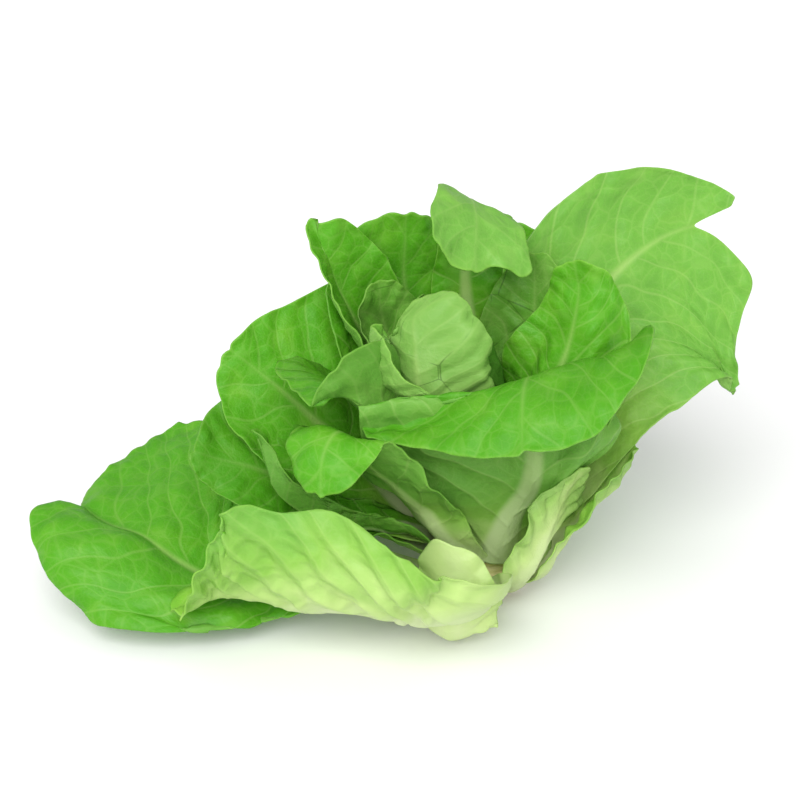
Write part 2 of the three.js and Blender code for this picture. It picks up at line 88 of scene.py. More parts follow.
def add(tree, kind, *values, out=0, named=None, **settings):
    """Adds a node with its settings and inputs, in order or named, and returns one of its outputs.
    A kind may end in a colon and its operation."""
    kind, _, operation = kind.partition(":")
    made = tree.nodes.new(kind)
    if operation:
        made.operation = operation
    for key, value in settings.items():
        setattr(made, key, value)
    for key, value in [*enumerate(values), *(named or {}).items()]:
        if isinstance(value, bpy.types.NodeSocket):
            tree.links.new(value, made.inputs[key])
        elif value is not None:
            made.inputs[key].default_value = value
    return made.outputs[out] if made.outputs else None


def mesh_from(name, points, faces):
    """A mesh of points in millimetres, shaded smooth."""
    mesh = bpy.data.meshes.new(name)
    mesh.from_pydata((np.asarray(points) * MM).tolist(), [], faces)
    mesh.polygons.foreach_set("use_smooth", [True] * len(mesh.polygons))
    mesh.update()
    return mesh


def stem_radius(z):
    """The stem's radius at a height."""
    rise = (z - STEM_NECK_HEIGHT) / (STEM_HEIGHT - STEM_NECK_HEIGHT)
    below = STEM_FOOT_RADIUS + (STEM_NECK_RADIUS - STEM_FOOT_RADIUS) * z / STEM_NECK_HEIGHT
    above = STEM_NECK_RADIUS + (STEM_TIP_RADIUS - STEM_NECK_RADIUS) * rise
    return np.where(z < STEM_NECK_HEIGHT, below, above)


def stem_mesh():
    """The stem as rings from the middle of the cut face out, up the side and in over the top."""
    turn = np.arange(STEM_ROUND) * 2 * math.pi / STEM_ROUND
    cut = [(r, STEM_DISH_DEPTH * max(0, 1 - (r / STEM_DISH_RADIUS) ** 2)) for r in STEM_CUT_RINGS]
    heights = np.arange(0.12, STEM_HEIGHT, STEM_RING_STEP)
    side = [(float(stem_radius(z)) - (0.25 if z < 0.3 else 0), z) for z in heights]
    rings = [*cut, *side, (2, STEM_HEIGHT + 1.2)]
    points = [(0, 0, 0.3)]
    for r, z in rings:
        scar = np.sin(2 * math.pi * (z + 1.1 * np.sin(3 * turn)) / STEM_SCAR_PITCH)
        scar = STEM_SCAR_DEPTH * scar if z > 0.5 else 0
        oval = 1 + 0.03 * np.sin(2 * turn + 0.6) + 0.02 * np.sin(5 * turn)
        reach = (r + scar) * (oval if r > 2 else 1)
        points += zip(reach * np.cos(turn), reach * np.sin(turn), np.full(STEM_ROUND, z))
    points.append((0, 0, STEM_HEIGHT + STEM_TIP_RADIUS / 2))
    faces = [(0, 1 + (k + 1) % STEM_ROUND, 1 + k) for k in range(STEM_ROUND)]
    for ring in range(len(rings) - 1):
        low, high = 1 + ring * STEM_ROUND, 1 + (ring + 1) * STEM_ROUND
        for k in range(STEM_ROUND):
            n = (k + 1) % STEM_ROUND
            faces.append((low + k, low + n, high + n, high + k))
    top = 1 + (len(rings) - 1) * STEM_ROUND
    faces += [(len(points) - 1, top + k, top + (k + 1) % STEM_ROUND) for k in range(STEM_ROUND)]
    return mesh_from("stem_core", points, faces)


def stem_material():
    """Fresh stem tissue: moist and a little translucent above, dried and browned at the cut."""
    material = bpy.data.materials.new("cut lettuce stem")
    material.use_nodes = True
    tree = material.node_tree
    tree.nodes.clear()
    place = add(tree, "ShaderNodeTexCoord", out="Object")
    height = add(tree, "ShaderNodeSeparateXYZ", place, out="Z")
    grain = add(tree, "ShaderNodeTexNoise", named={"Vector": place, "Scale": 420.0, "Detail": 4.0})
    spots = add(tree, "ShaderNodeTexNoise", named={"Vector": place, "Scale": 190.0, "Detail": 3.0})
    low = add(tree, "ShaderNodeMapRange", height, 0.0, 0.0045, 1.0, 0.0)
    browned = add(tree, "ShaderNodeMapRange", spots, 0.56, 0.72, 0.0, 1.0)
    browned = add(tree, "ShaderNodeMath:MULTIPLY", browned, low)
    shade = colour(STEM_SKIN)
    for share, tint in ((grain, STEM_SKIN_STREAK), (low, STEM_CUT), (browned, STEM_BROWNED)):
        parts = {0: share, 6: shade, 7: colour(tint)}
        shade = add(tree, "ShaderNodeMix", data_type="RGBA", out=2, named=parts)
    bump = add(tree, "ShaderNodeBump", named={"Strength": 0.5, "Distance": 0.0004, "Height": grain})
    shader = add(
        tree, "ShaderNodeBsdfPrincipled",
        named={"Base Color": shade, "Roughness": 0.5, "IOR": 1.4, "Normal": bump},
    )
    add(tree, "ShaderNodeOutputMaterial", shader)
    return material


stem = bpy.data.objects.new("stem_core", stem_mesh())
stem.data.materials.append(stem_material())
bpy.context.scene.collection.objects.link(stem)
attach(stem, "root")
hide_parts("stem")

# ---- how a leaf grows ----
# Every leaf is one thin blade on a midrib that leaves the stem at an azimuth and a height. Each row
# of the blade reaches out from the midrib to both sides and bends towards or away from the heart.
# rib: the midrib's points. roll: its turn, left edge towards the heart. left, right: half widths and
# bends from base to tip. sweep: how far the left and right edges are swept back from the tip.
# notch: how far the tip is cut in. fold: how far both halves fold towards the heart.
# wave: height, number and phase of the edge's waves.
# green: where along the leaf its pale base starts to turn and is all green. tone: above 0 lighter, below 0
# painted shade over a leaf that lies in shadow.
LEAVES = {
    "left_ground": dict(
        azimuth=200, start=5, roll=[0, -4, -6, -6], sweep=[0.3, 0.06], notch=0.09, fold=26, wave=[3, 7, 0],
        rib=[[-60, -20, 13], [-108, -27, 22], [-138, -14, 31], [-170, 9, 32]],
        left=([8, 14, 26, 50, 42], [0, -40, -100, -130, -120]),
        right=([8, 38, 64, 74, 60], [10, 0, -15, -20]), green=(0.1, 0.5), tone=-0.12,
    ),
    "back_ground": dict(
        azimuth=112, start=5, roll=[0, 0], sweep=[0.3, 0.3], notch=0, fold=0, wave=[5, 7, 2],
        rib=[[-30, 60, 20], [-48, 100, 26], [-58, 138, 12]],
        left=([10, 40, 55, 45], [20, 0, -30]),
        right=([10, 40, 55, 45], [20, 0, -30]), green=(0.1, 0.5), tone=0.0,
    ),
    "front_left": dict(
        azimuth=225, start=6, roll=[0, 0, 20, 40], sweep=[0.22, 0.35], notch=0, fold=0, wave=[3, 7, 1],
        rib=[[-22, -36, 4], [-40, -45, 6], [-60, -47, 13], [-88, -47, 20], [-105, -50, 20], [-114, -62, 17]],
        left=([10, 30, 66, 72, 70, 68, 56, 66, 56], [60, 80, 60]),
        right=([8, 20, 24, 20], [30, 60, 60]), green=(0.55, 1.4), tone=0.0,
    ),
    "front_base": dict(
        azimuth=255, start=4, roll=[0, 0], sweep=[0.3, 0.3], notch=0, fold=0, wave=[1, 7, 0],
        rib=[[-9, -31, 3], [-17, -46, 13], [-18, -49, 31], [-17, -43, 47]],
        left=([8, 14, 16, 13], [40, 60, 60]),
        right=([8, 15, 17, 14], [40, 40, 40]), green=(0.6, 2.0), tone=0.4,
    ),
    "right_base": dict(
        azimuth=312, start=6, roll=[0, 0], sweep=[0.3, 0.3], notch=0, fold=0, wave=[2, 6, 0],
        rib=[[13, -24, 18], [20, -26, 34], [26, -23, 50], [31, -18, 66]],
        left=([8, 16, 18, 16], [20, 20, 20]),
        right=([8, 14, 16, 14], [20, 20, 20]), green=(0.4, 1.5), tone=0.2,
    ),
    "right_ragged": dict(
        azimuth=350, start=7, roll=[0, 0], sweep=[0.2, 0.2], notch=0, fold=0, wave=[2, 6, 0],
        rib=[[22, -8, 22], [36, -8, 38], [45, -3, 50], [53, 2, 62]],
        left=([8, 14, 15, 12], [10, 10, 10]),
        right=([8, 14, 15, 12], [10, 10, 10]), green=(0.3, 1.5), tone=0.1,
    ),
    "back_left": dict(
        azimuth=142, start=8, roll=[0, 0], sweep=[0.3, 0.3], notch=0, fold=0, wave=[4, 7, 2],
        rib=[[-40, 32, 30], [-66, 52, 50], [-84, 70, 60], [-98, 86, 58]],
        left=([8, 24, 34, 30], [30, 0, -20]),
        right=([8, 34, 48, 40], [30, 20, -20]), green=(0.1, 0.5), tone=0.0,
    ),
    "back_right": dict(
        azimuth=68, start=9, roll=[0, -10], sweep=[0.3, 0.3], notch=0, fold=0, wave=[4, 7, 2],
        rib=[[16, 42, 50], [26, 68, 76], [32, 90, 88], [36, 110, 86]],
        left=([8, 36, 50, 40], [30, 10, -30]),
        right=([8, 36, 50, 40], [30, 20, -20]), green=(0.1, 0.5), tone=0.0,
    ),
    "right_big": dict(
        azimuth=32, start=11, roll=[10, 40, 60, 65], sweep=[0.28, 0.12], notch=0.14, fold=0, wave=[0, 5, 0],
        rib=[[20, 14, 45], [29, 22, 84], [43, 32, 112], [62, 42, 126], [82, 47, 132], [104, 49, 134]],
        left=([10, 28, 36, 38, 32, 16], [40, 20, 10]),
        right=([10, 30, 44, 62, 70, 58], [40, 10, 0, 0]), green=(0.05, 0.6), tone=0.12,
    ),
    "left_side": dict(
        azimuth=178, start=12, roll=[0, -40, -60], sweep=[0.2, 0.2], notch=0, fold=0, wave=[3, 7, 2],
        rib=[[-35, 0, 36], [-62, 2, 64], [-84, 5, 84], [-101, 8, 98]],
        left=([10, 24, 30, 24], [20, 20, 10]),
        right=([10, 44, 64, 66, 40], [30, 20, 10]), green=(0.1, 0.5), tone=0.0,
    ),
    "left_low": dict(
        azimuth=192, start=13, roll=[0, -40, -50], sweep=[0.2, 0.2], notch=0, fold=0, wave=[2, 6, 2],
        rib=[[-35, -8, 32], [-65, -14, 48], [-90, -18, 60], [-114, -20, 68]],
        left=([8, 18, 20, 16], [30, 40, 40]),
        right=([8, 26, 40, 34], [30, 20, 10]), green=(0.1, 0.5), tone=-0.35,
    ),
    "back": dict(
        azimuth=82, start=14, roll=[0, 0], sweep=[0.3, 0.3], notch=0, fold=0, wave=[3, 7, 2],
        rib=[[-2, 34, 50], [2, 50, 85], [6, 62, 108], [8, 71, 125]],
        left=([10, 36, 45, 36], [30, 20, 10]),
        right=([10, 36, 45, 36], [30, 20, 10]), green=(0.1, 0.5), tone=0.0,
    ),
    "left_narrow": dict(
        azimuth=205, start=15, roll=[0, 0], sweep=[0.5, 0.5], notch=0, fold=45, wave=[1, 6, 2],
        rib=[[-32, -15, 30], [-60, -28, 40], [-79, -35, 56], [-91, -30, 83]],
        left=([8, 12, 15, 12], [20, 20, 20]),
        right=([8, 12, 16, 12], [20, 20, 20]), green=(0.05, 0.4), tone=-0.3,
    ),
    "front_small": dict(
        azimuth=230, start=16, roll=[0, 0], sweep=[0.2, 0.2], notch=0, fold=0, wave=[2, 6, 2],
        rib=[[-28, -24, 46], [-46, -36, 72], [-57, -44, 87], [-62, -53, 83], [-63, -60, 69]],
        left=([10, 18, 22, 22], [40, 20, -20]),
        right=([10, 18, 20, 20], [40, 20, -20]), green=(0.1, 0.5), tone=0.0,
    ),
    "front_fold": dict(
        azimuth=278, start=18, roll=[0, 6, 12, 10], sweep=[0.26, 0.06], notch=0, fold=0, wave=[2, 6, 2],
        rib=[[6, -20, 45], [8, -28, 76], [8, -31, 98], [8, -40, 107], [8, -54, 102], [8, -65, 88]],
        left=([10, 30, 42, 50, 46], [30, 20, 0]),
        right=([14, 50, 58, 60, 60], [30, 20, 0]), green=(0.02, 0.35), tone=-0.15,
    ),
    "left_top": dict(
        azimuth=158, start=19, roll=[0, -20], sweep=[0.2, 0.2], notch=0, fold=30, wave=[2, 6, 2],
        rib=[[-23, 8, 52], [-44, 12, 88], [-60, 14, 120], [-69, 15, 148]],
        left=([10, 18, 19, 10], [20, 20, 20]),
        right=([10, 18, 24, 22], [20, 20, 20]), green=(0.1, 0.6), tone=0.0,
    ),
    "back_left_top": dict(
        azimuth=128, start=21, roll=[0, -10], sweep=[0.2, 0.2], notch=0, fold=0, wave=[2, 6, 2],
        rib=[[-18, 15, 56], [-29, 25, 90], [-34, 33, 118], [-34, 39, 141]],
        left=([10, 28, 38, 34], [40, 30, 20]),
        right=([10, 26, 34, 28], [40, 30, 20]), green=(0.1, 0.5), tone=-0.1,
    ),
    "right_upright": dict(
        azimuth=8, start=22, roll=[0, 40, 50], sweep=[0.4, 0.4], notch=0, fold=0, wave=[2, 6, 2],
        rib=[[15, -5, 50], [24, -9, 84], [31, -6, 110], [29, 2, 137]],
        left=([10, 22, 28, 24], [40, 20, 10]),
        right=([10, 24, 30, 30], [40, 20, 10]), green=(0.1, 0.6), tone=0.0,
    ),
    "left_pouch": dict(
        azimuth=236, start=24, roll=[0, 10, 20, 20], sweep=[0.35, 0.1], notch=0, fold=50, wave=[2, 6, 2],
        rib=[[-25, -16, 54], [-42, -22, 80], [-55, -31, 93], [-67, -42, 94]],
        left=([10, 20, 32, 34], [10, 20, 20]),
        right=([10, 28, 36, 32], [20, 10, 0]), green=(0.1, 0.6), tone=-0.25,
    ),
    "right_inner": dict(
        azimuth=32, start=26, roll=[0, 30], sweep=[0.3, 0.3], notch=0, fold=0, wave=[2, 6, 2],
        rib=[[12, 6, 58], [15, 12, 88], [16, 18, 112], [16, 25, 131]],
        left=([8, 20, 24, 18], [60, 60, 40]),
        right=([8, 20, 24, 18], [60, 60, 40]), green=(0.05, 0.5), tone=-0.15,
    ),
    "top_curl": dict(
        azimuth=95, start=28, roll=[0, 0, -15, -22, -15], sweep=[0.12, 0.02],
        notch=0, fold=0, wave=[2, 6, 2],
        rib=[[-6, 18, 60], [-9, 26, 98], [-10, 30, 130], [-9, 23, 151], [-7, 8, 149], [-7, -6, 132]],
        left=([8, 14, 14, 12, 28], [50, 30, -10]),
        right=([8, 14, 16, 17, 23], [50, 30, 10]), green=(0.1, 0.6), tone=0.0,
    ),
    "left_back_inner": dict(
        azimuth=140, start=30, roll=[0, 0], sweep=[0.3, 0.3], notch=0, fold=0, wave=[2, 6, 2],
        rib=[[-22, 8, 60], [-36, 12, 88], [-43, 14, 108], [-44, 14, 124]],
        left=([8, 18, 20, 16], [50, 50, 40]),
        right=([8, 18, 24, 20], [50, 50, 40]), green=(0.1, 0.7), tone=-0.1,
    ),
    "left_inner": dict(
        azimuth=224, start=31, roll=[0, 0], sweep=[0.3, 0.3], notch=0, fold=0, wave=[2, 6, 2],
        rib=[[-20, -14, 56], [-33, -25, 82], [-41, -31, 104], [-41, -28, 124]],
        left=([8, 18, 26, 18], [60, 60, 40]),
        right=([8, 18, 24, 14], [60, 60, 40]), green=(0.1, 0.6), tone=0.0,
    ),
    "heart_right": dict(
        azimuth=20, start=33, roll=[0, 0], sweep=[0.3, 0.3], notch=0, fold=0, wave=[1, 6, 2],
        rib=[[6, 2, 58], [3, 2, 86], [-3, 0, 106], [-12, -4, 120]],
        left=([8, 18, 20, 18], [70, 90, 90]),
        right=([8, 18, 22, 18], [70, 90, 90]), green=(0.0, 0.5), tone=-0.75,
    ),
    "heart_left": dict(
        azimuth=155, start=35, roll=[0, 0], sweep=[0.3, 0.3], notch=0, fold=0, wave=[1, 6, 2],
        rib=[[-20, 4, 60], [-33, 4, 88], [-34, 2, 110], [-27, -3, 124]],
        left=([8, 18, 22, 18], [70, 90, 90]),
        right=([8, 18, 22, 18], [70, 90, 90]), green=(0.0, 0.7), tone=-0.3,
    ),
    "heart_front": dict(
        azimuth=262, start=37, roll=[0, 0], sweep=[0.2, 0.2], notch=0, fold=0, wave=[1, 6, 2],
        rib=[[-9, -17, 55], [-18, -26, 80], [-22, -28, 100], [-23, -20, 119], [-24, -8, 128]],
        left=([8, 18, 24, 20], [60, 70, 60]),
        right=([8, 18, 22, 20], [60, 70, 60]), green=(0.0, 0.8), tone=-0.05,
    ),
}
RIB_THICKNESS = 2.4
RIB_STEPS = 60
CURVE_STEPS = 200
ACROSS_STEPS = 16


def smooth(t, low, high):
    """0 below low, 1 above high, and a smooth step between."""
    share = np.clip((np.asarray(t, float) - low) / (high - low), 0, 1)
    return share * share * (3 - 2 * share)


def through(values, t):
    """A smooth value at t, 0 to 1, through evenly spaced values."""
    values = np.asarray(values, float)
    at = np.clip(t, 0, 1) * (len(values) - 1)
    first = np.minimum(np.floor(at).astype(int), len(values) - 2)
    f = at - first
    a, b, c, d = (values[np.clip(first + k, 0, len(values) - 1)] for k in (-1, 0, 1, 2))
    return b + 0.5 * f * (c - a + f * (2 * a - 5 * b + 4 * c - d + f * (3 * (b - c) + d - a)))


def rib_line(points, t):
    """Points at t, 0 to 1, on a centripetal Catmull-Rom curve through the midrib's points."""
    ends = [2 * points[0] - points[1]], [2 * points[-1] - points[-2]]
    run = np.vstack([ends[0], points, ends[1]])
    at = np.clip(t, 0, 1) * (len(points) - 1)
    first = np.minimum(np.floor(at).astype(int), len(points) - 2)
    w = (at - first)[:, None]
    a, b, c, d = (run[first + k] for k in range(4))
    one, two, three = (np.linalg.norm(q - p, axis=1)[:, None] ** 0.5 for p, q in ((a, b), (b, c), (c, d)))
    leave = two * ((b - a) / one - (c - a) / (one + two) + (c - b) / two)
    enter = two * ((c - b) / two - (d - b) / (two + three) + (d - c) / three)
    return b + w * (leave + w * (3 * (c - b) - 2 * leave - enter + w * (2 * (b - c) + leave + enter)))


def turned(vector, axis, angle):
    """A vector turned about a unit axis."""
    flat = np.cross(axis, vector)
    return vector * math.cos(angle) + flat * math.sin(angle) + axis * (axis @ vector) * (1 - math.cos(angle))


def midrib(leaf):
    """Even stations along the midrib: place, side (to the left) and face (to the heart), and its length."""
    radius = float(stem_radius(leaf["start"])) + RIB_THICKNESS
    start = math.radians(leaf["azimuth"])
    foot = [radius * math.cos(start), radius * math.sin(start), leaf["start"]]
    points = np.array([foot, *leaf["rib"]], float)
    t = np.linspace(0, 1, CURVE_STEPS + 1)
    steps = np.linalg.norm(np.diff(rib_line(points, t), axis=0), axis=1)
    lengths = np.concatenate([[0], np.cumsum(steps)])
    even = np.interp(np.linspace(0, lengths[-1], RIB_STEPS + 1), lengths, t)
    place = rib_line(points, even)
    along = rib_line(points, even + 1e-4) - rib_line(points, even - 1e-4)
    along /= np.linalg.norm(along, axis=1)[:, None]
    rolls = np.radians(through(leaf["roll"], np.linspace(0, 1, RIB_STEPS + 1)))
    side = np.array([-math.sin(start), math.cos(start), 0])
    sides, faces = [], []
    for k, roll in enumerate(rolls):
        side = side - (side @ along[k]) * along[k]
        side /= np.linalg.norm(side)
        sides.append(turned(side, along[k], roll))
        faces.append(turned(np.cross(along[k], side), along[k], roll))
    return place, np.array(sides), np.array(faces), lengths[-1]


def blade(leaf, stations, u, v):
    """Points of the blade, u from base to tip and v across from -1, right, to 1, left.
    Returns them with their distance out from the midrib and their share of its length."""
    place, sides, faces, _ = stations
    reach = np.abs(v)
    swept = np.where(v > 0, *leaf["sweep"]) * reach**2.6 + leaf["notch"] * (1 - reach) ** 4
    s = u * (1 - swept)
    half = np.where(v > 0, through(leaf["left"][0], s), through(leaf["right"][0], s))
    bend = np.radians(np.where(v > 0, through(leaf["left"][1], s), through(leaf["right"][1], s)))
    knots = np.arange(RIB_STEPS + 1)
    at = lambda field: np.stack([np.interp(s * RIB_STEPS, knots, field[:, c]) for c in range(3)], -1)
    point, side, face = at(place), at(sides) * np.where(v > 0, 1, -1)[..., None], at(faces)
    fold = math.radians(leaf["fold"]) * smooth(s, 0.1, 0.4)
    step = reach * half / ACROSS_STEPS
    for k in range(ACROSS_STEPS):
        turn = fold + bend * reach * (k + 0.5) / ACROSS_STEPS
        point = point + side * (step * np.cos(turn))[..., None] + face * (step * np.sin(turn))[..., None]
    height, count, phase = leaf["wave"]
    edge = np.maximum(reach**2.5, u**5) * smooth(s, 0.2, 0.5)
    lift = height * edge * np.sin(count * np.arctan2(v * 0.3, s - 0.45) + phase)
    point = point + face * (lift * np.cos(turn))[..., None] - side * (lift * np.sin(turn))[..., None]
    return point, reach * half, s


# ---- how the leaves lie against each other ----
# Leaves that meet push each other apart, each keeping to the side it mostly lies on, until a
# coarse grid of each has settled; the fine blades then follow their grids.
ROWS, COLUMNS = 10, 8
LEAF_GAP = 2.2
FLOOR_GAP = 0.8
PRESS_REACH = 8  # leaves further apart than this don't meet
SETTLE_ROUNDS = 24
GIVE = 8  # the furthest a leaf is pushed from where it grew
FINE = 2  # samples for each step of the grid


def spread(count, fine):
    """The weights that take a row of count + 1 values to one fine times as close, in straight lines."""
    at = np.arange(count * fine + 1) / fine
    return np.maximum(0, 1 - np.abs(at[:, None] - np.arange(count + 1)[None]))


def facings(grid):
    """The unit direction each point of a grid faces."""
    low = lambda n: np.maximum(np.arange(n) - 1, 0)
    high = lambda n: np.minimum(np.arange(n) + 1, n - 1)
    rows, columns = grid.shape[:2]
    along = grid[high(rows)] - grid[low(rows)]
    across = grid[:, high(columns)] - grid[:, low(columns)]
    facing = np.cross(along, across)
    return facing / np.linalg.norm(facing, axis=-1)[..., None]


def press(mine, other, nearest, inside):
    """Pushes samples of one leaf and the nearest ones of another apart."""
    meeting = np.flatnonzero((nearest >= 0) & inside[nearest])
    near = nearest[meeting]
    facing = other["facing"][near]
    away = np.einsum("kc,kc->k", mine["at"][meeting] - other["at"][near], facing)
    side = np.sign(away.sum())
    depth = LEAF_GAP - side * away
    touch = depth > 0
    push = 0.5 * side * depth[touch, None] * facing[touch]
    np.add.at(mine["push"], meeting[touch], push)
    np.add.at(other["push"], near[touch], -push)
    np.add.at(mine["count"], meeting[touch], 1)
    np.add.at(other["count"], near[touch], 1)


def near_box(points, box):
    """Which points lie within reach of a box that already has half the reach round it."""
    above = points > box[0] - PRESS_REACH / 2
    below = points < box[1] + PRESS_REACH / 2
    return np.flatnonzero(np.all(above & below, axis=1))


def settle(grids):
    """Settles the coarse grids of all the leaves."""
    homes = [grid.copy() for grid in grids]
    rows, columns = ROWS * FINE + 1, COLUMNS * FINE + 1
    inside = np.zeros((rows, columns), bool)
    inside[1:-1, 1:-1] = True
    inside = inside.ravel()
    hold = smooth(np.arange(ROWS + 1) / ROWS, 0, 0.3)[:, None, None]
    for _ in range(SETTLE_ROUNDS):
        sets = []
        for grid in grids:
            fine = np.einsum("ai,bj,ijc->abc", spread(ROWS, FINE), spread(COLUMNS, FINE), grid)
            at = fine.reshape(-1, 3)
            box = (at.min(0) - PRESS_REACH / 2, at.max(0) + PRESS_REACH / 2)
            blank = dict(push=np.zeros_like(at), count=np.zeros(len(at)))
            sets.append(dict(at=at, facing=facings(fine).reshape(-1, 3), box=box, **blank))
        for a, one in enumerate(sets):
            for two in sets[a + 1 :]:
                if np.any(one["box"][0] > two["box"][1]) or np.any(two["box"][0] > one["box"][1]):
                    continue
                near = [near_box(one["at"], two["box"]), near_box(two["at"], one["box"])]
                if not near[0].size or not near[1].size:
                    continue
                far = ((one["at"][near[0], None] - two["at"][None, near[1]]) ** 2).sum(-1)
                ways = (one, two, far, *near), (two, one, far.T, *near[::-1])
                for mine, other, gap, here, there in ways:
                    nearest = np.full(len(mine["at"]), -1)
                    nearest[here] = np.where(gap.min(1) < PRESS_REACH**2, there[gap.argmin(1)], -1)
                    press(mine, other, nearest, inside)
        for grid, home, felt in zip(grids, homes, sets):
            push = np.pad(felt["push"].reshape(rows, columns, 3), ((1, 1), (1, 1), (0, 0)))
            count = np.pad(felt["count"].reshape(rows, columns), 1)
            total, weight = 0, 0
            for i in (-1, 0, 1):
                for j in (-1, 0, 1):
                    w = (1 - abs(i) / FINE) * (1 - abs(j) / FINE)
                    pick = (slice(1 + i, rows + 1 + i, FINE), slice(1 + j, columns + 1 + j, FINE))
                    total = total + w * push[pick]
                    weight = weight + w * count[pick]
            moves = total / np.where(weight > 0, weight, 1)[..., None]
            for axis in (1, 0):
                padded = np.pad(moves, [(1, 1) if k == axis else (0, 0) for k in range(3)], mode="edge")
                before, after = np.split(padded, [-2], axis)[0], np.split(padded, [2], axis)[1]
                moves = (before + after + 2 * moves) / 4
            grid += hold * moves
            give = grid - home
            length = np.linalg.norm(give, axis=-1)[..., None]
            grid[:] = home + give * np.minimum(1, GIVE / np.maximum(length, 1e-9))
            low = grid[..., 2] < FLOOR_GAP
            grid[..., 2][low] += 0.5 * (FLOOR_GAP - grid[..., 2][low])
    return grids


stations = {name: midrib(leaf) for name, leaf in LEAVES.items()}
coarse_u = np.arange(ROWS + 1) / ROWS
coarse_v = 2 * np.arange(COLUMNS + 1) / COLUMNS - 1
coarse = np.meshgrid(coarse_u, coarse_v, indexing="ij")
grown = [blade(leaf, stations[name], *coarse)[0] for name, leaf in LEAVES.items()]
settled = settle([grid.copy() for grid in grown])
gives = {name: after - before for name, after, before in zip(LEAVES, settled, grown)}

# ---- the skin of a leaf ----
# A butterhead leaf is a soft blade under a millimetre thick. Branch veins leave a broad pale midrib and
# arch to the rim, a net of finer veins joins them, and the blade puffs up between them towards the heart.
BLADE_THICKNESS = 0.55
BLADE_STEP = 1.5  # between the points a blade is grown from; the skin halves it
LONG_LEAF = 120
LONG_LEAF_VEIN_SPACING = 15.0
SHORT_LEAF_VEIN_SPACING = 10.0
BRANCH_SLANT = 0.75  # how far a branch falls back for each millimetre out from the midrib
BRANCH_ARCH = 0.004  # how much more it falls back for each millimetre further out
MIDRIB_FOOT_HALF_WIDTH = 7.5
MIDRIB_TIP_HALF_WIDTH = 0.7
BRANCH_DRIFT = 22.0
NET_PITCH = 8.0
FINE_NET_PITCH = 2.7
CRUMPLED_BLISTERS, HEART_BLISTERS, OUTER_BLISTERS = 3.2, 1.5, 1.1
HEART_BILLOW, OUTER_BILLOW = 4.0, 7.0
FRILL_HEIGHT = 3.0
RAGGED_TRIM = 0.025  # the share of a blade's width that its torn rim loses on average
SEED_STEP = 40.0  # keeps the patterns of two leaves apart
CRUMPLED_NAMES = ("front_left", "front_base", "right_base", "right_ragged")
HEART_NAMES = (
    "left_inner", "left_back_inner", "right_inner", "heart_right", "heart_left", "heart_front",
)
VEIN_TINT = "#cfe88e"
BACK_TINT = "#a9cf78"
RIM_TINT = "#9ad24e"
# Painted shade along the crinkle lines of the heart leaves.
CREASE_SHADE_TINT = "#3d5a22"
SPECK_TINT = "#7a5a2c"
LIGHT_TINT = "#dff0a8"
# Painted shade over leaves that lie in shadow.
PAINTED_SHADE_TINT = "#357a10"
GLOW_TINT = "#b6e02a"
SMOOTHED = {"interpolation_type": "SMOOTHSTEP"}
SKIN_SIZES = (
    "Blade thickness", "Rib thickness", "Vein spacing", "Blister height", "Billow height",
    "Frill height", "Seed",
)


def veins(tree, place, spacing, seed):
    """Nodes that give, in mm from (across, along, share): the distance out from the midrib's side, to the
    nearest branch vein, to the net and to the fine net."""
    split = add(tree, "ShaderNodeSeparateXYZ", place).node.outputs
    flat = add(tree, "ShaderNodeCombineXYZ", split["X"], split["Y"], seed)
    drift = add(tree, "ShaderNodeTexNoise", named={"Vector": flat, "Scale": 0.035, "Detail": 1.0})
    reach = add(tree, "ShaderNodeMath:ABSOLUTE", split["X"])
    slant = add(tree, "ShaderNodeMath:MULTIPLY_ADD", reach, BRANCH_ARCH, BRANCH_SLANT)
    back = add(tree, "ShaderNodeMath:MULTIPLY", slant, reach)
    lane = add(tree, "ShaderNodeMath:SUBTRACT", split["Y"], back)
    lane = add(tree, "ShaderNodeMath:MULTIPLY_ADD", drift, BRANCH_DRIFT, lane)
    lane = add(tree, "ShaderNodeMath:DIVIDE", lane, spacing)
    left = add(tree, "ShaderNodeMath:GREATER_THAN", split["X"], 0.0)
    lane = add(tree, "ShaderNodeMath:MULTIPLY_ADD", left, 0.5, lane)
    lane = add(tree, "ShaderNodeMath:PINGPONG", lane, 0.5)
    branch = add(tree, "ShaderNodeMath:MULTIPLY", lane, spacing)
    branch = add(tree, "ShaderNodeMath:MULTIPLY", branch, 0.8)
    winding = {"Vector": flat, "Scale": 0.12, "Detail": 1.0}
    wander = add(tree, "ShaderNodeTexNoise", out="Color", named=winding)
    bent = add(tree, "ShaderNodeVectorMath:MULTIPLY_ADD", wander, (5.0, 5.0, 0.0), flat)
    nets = []
    for pitch in (NET_PITCH, FINE_NET_PITCH):
        cells = {"Vector": bent, "Scale": 1 / pitch, "Randomness": 0.9}
        net = add(tree, "ShaderNodeTexVoronoi", out="Distance", feature="DISTANCE_TO_EDGE", named=cells)
        nets.append(add(tree, "ShaderNodeMath:MULTIPLY", net, pitch))
    rest = add(tree, "ShaderNodeMath:SUBTRACT", 1.0, split["Z"])
    taper = add(tree, "ShaderNodeMath:POWER", rest, 1.6)
    width = add(
        tree, "ShaderNodeMath:MULTIPLY_ADD", taper, MIDRIB_FOOT_HALF_WIDTH, MIDRIB_TIP_HALF_WIDTH,
    )
    outside = add(tree, "ShaderNodeMath:SUBTRACT", reach, width)
    return outside, branch, *nets


